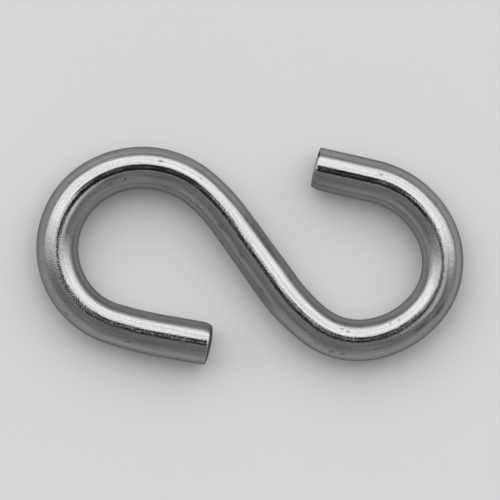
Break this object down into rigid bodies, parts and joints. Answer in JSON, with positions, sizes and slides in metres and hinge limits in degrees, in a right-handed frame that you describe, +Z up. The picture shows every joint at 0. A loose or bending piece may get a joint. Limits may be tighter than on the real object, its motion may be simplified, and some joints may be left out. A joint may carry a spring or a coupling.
{
  "type": "s hook",
  "caption": "Flat S-shaped wire hook with an open bow at each end and cropped tails, bright zinc plated, for hanging things or linking rings and chain.",
  "frame": {"origin": "middle of the hook's box in X and Y, on the surface that the hook lies on", "axes": "+X along the hook from the long-tailed bow to the short-tailed bow, +Y across it towards the short tail, +Z up, square to the plane that the wire is bent in"},
  "size_m": [0.0612, 0.0313, 0.0061],
  "materials": {
    "zinc_plated_steel": "bright zinc plated drawn wire, fine lengthwise draw lines"
  },
  "bodies": {
    "root": {"hook": "zinc_plated_steel"}
  },
  "joints": []
}
